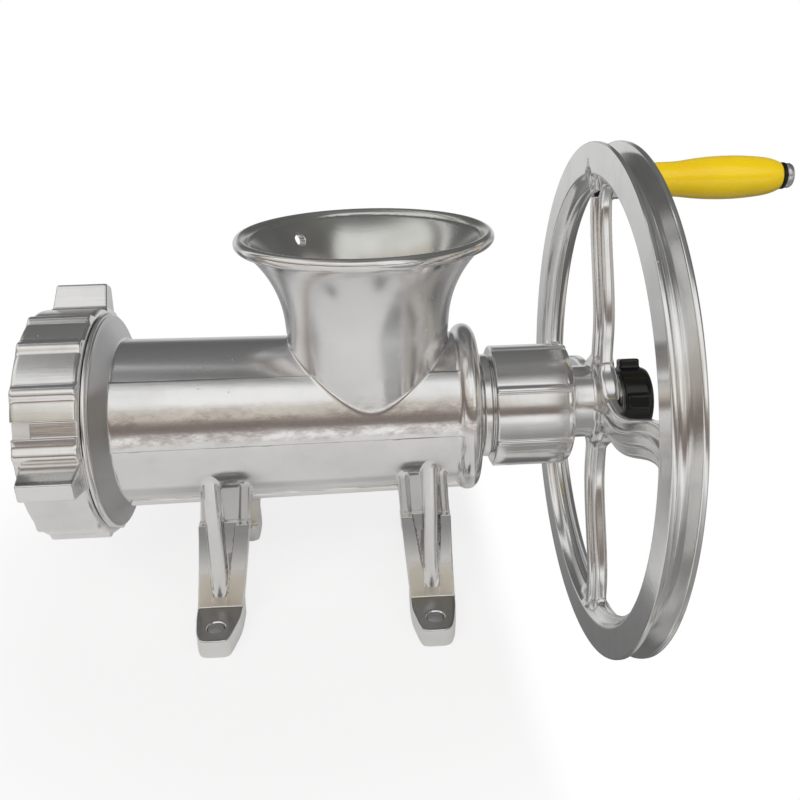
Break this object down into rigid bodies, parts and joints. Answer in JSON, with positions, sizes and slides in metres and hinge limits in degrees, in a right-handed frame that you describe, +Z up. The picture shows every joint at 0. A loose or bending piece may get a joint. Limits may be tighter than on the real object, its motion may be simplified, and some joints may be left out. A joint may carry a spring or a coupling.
{
  "type": "manual meat grinder",
  "caption": "Hand-cranked meat grinder: polished cast barrel with flared hopper and splayed legs, lugged ring nut over a drilled plate, and a grooved pulley wheel with a yellow grip.",
  "frame": {"origin": "centre of the rectangle of foot holes, on the underside of the feet", "axes": "+X along the barrel from the cutting plate to the wheel, +Y away from the side that the picture shows, +Z up"},
  "size_m": [0.4049, 0.28, 0.28],
  "materials": {
    "cast_aluminium": "cast, polished bright",
    "steel": "turned, bright",
    "plate_steel": "hardened and ground",
    "bronze": "turned bearing bronze",
    "white_plastic": "moulded, smooth",
    "dark_washer": "blackened",
    "yellow_grip": "glossy yellow",
    "black_plastic": "moulded, satin",
    "brass": "turned"
  },
  "bodies": {
    "frame": {"housing": "cast_aluminium", "plate_key": "steel", "rear_bush": "bronze", "thrust_washer": "white_plastic", "lock_ring": "cast_aluminium", "rear_nut": "cast_aluminium"},
    "plate": {"cutting_plate": "plate_steel"},
    "ring": {"ring_nut": "cast_aluminium"},
    "crank": {"knife": "plate_steel", "knife_stud": "steel", "auger": "cast_aluminium", "drive_shaft": "steel", "shaft_pin": "steel", "wheel": "cast_aluminium", "wheel_key": "steel", "spindle": "steel", "spindle_nut": "steel", "inner_washer": "dark_washer", "outer_washer": "dark_washer"},
    "grip": {"grip": "yellow_grip"},
    "washer": {"hub_washer": "steel"},
    "knob": {"knob": "black_plastic", "knob_insert": "brass"}
  },
  "joints": [
    {"name": "crank_spin", "type": "hinge", "parent": "frame", "child": "crank", "pos_m": [0, 0, 0.102], "axis": [1, 0, 0], "continuous": true},
    {"name": "grip_spin", "type": "hinge", "parent": "crank", "child": "grip", "pos_m": [0.2, 0.02075, 0.21968], "axis": [1, 0, 0], "continuous": true},
    {"name": "plate_draw", "type": "slide", "parent": "frame", "child": "plate", "axis": [-1, 0, 0], "range_m": [0, 0.024]},
    {"name": "ring_unscrew", "type": "hinge", "parent": "plate", "child": "ring", "pos_m": [0, 0, 0.102], "axis": [-1, 0, 0], "range_deg": [0, 1440]},
    {"name": "washer_draw", "type": "slide", "parent": "crank", "child": "washer", "axis": [1, 0, 0], "range_m": [0, 0.008]},
    {"name": "knob_unscrew", "type": "hinge", "parent": "washer", "child": "knob", "pos_m": [0, 0, 0.102], "axis": [1, 0, 0], "range_deg": [0, 1440]}
  ],
  "couplings": [
    {"joint": "plate_draw", "follows": "ring_unscrew", "m_per_rad": 0.00095493},
    {"joint": "washer_draw", "follows": "knob_unscrew", "m_per_rad": 0.00031831}
  ]
}
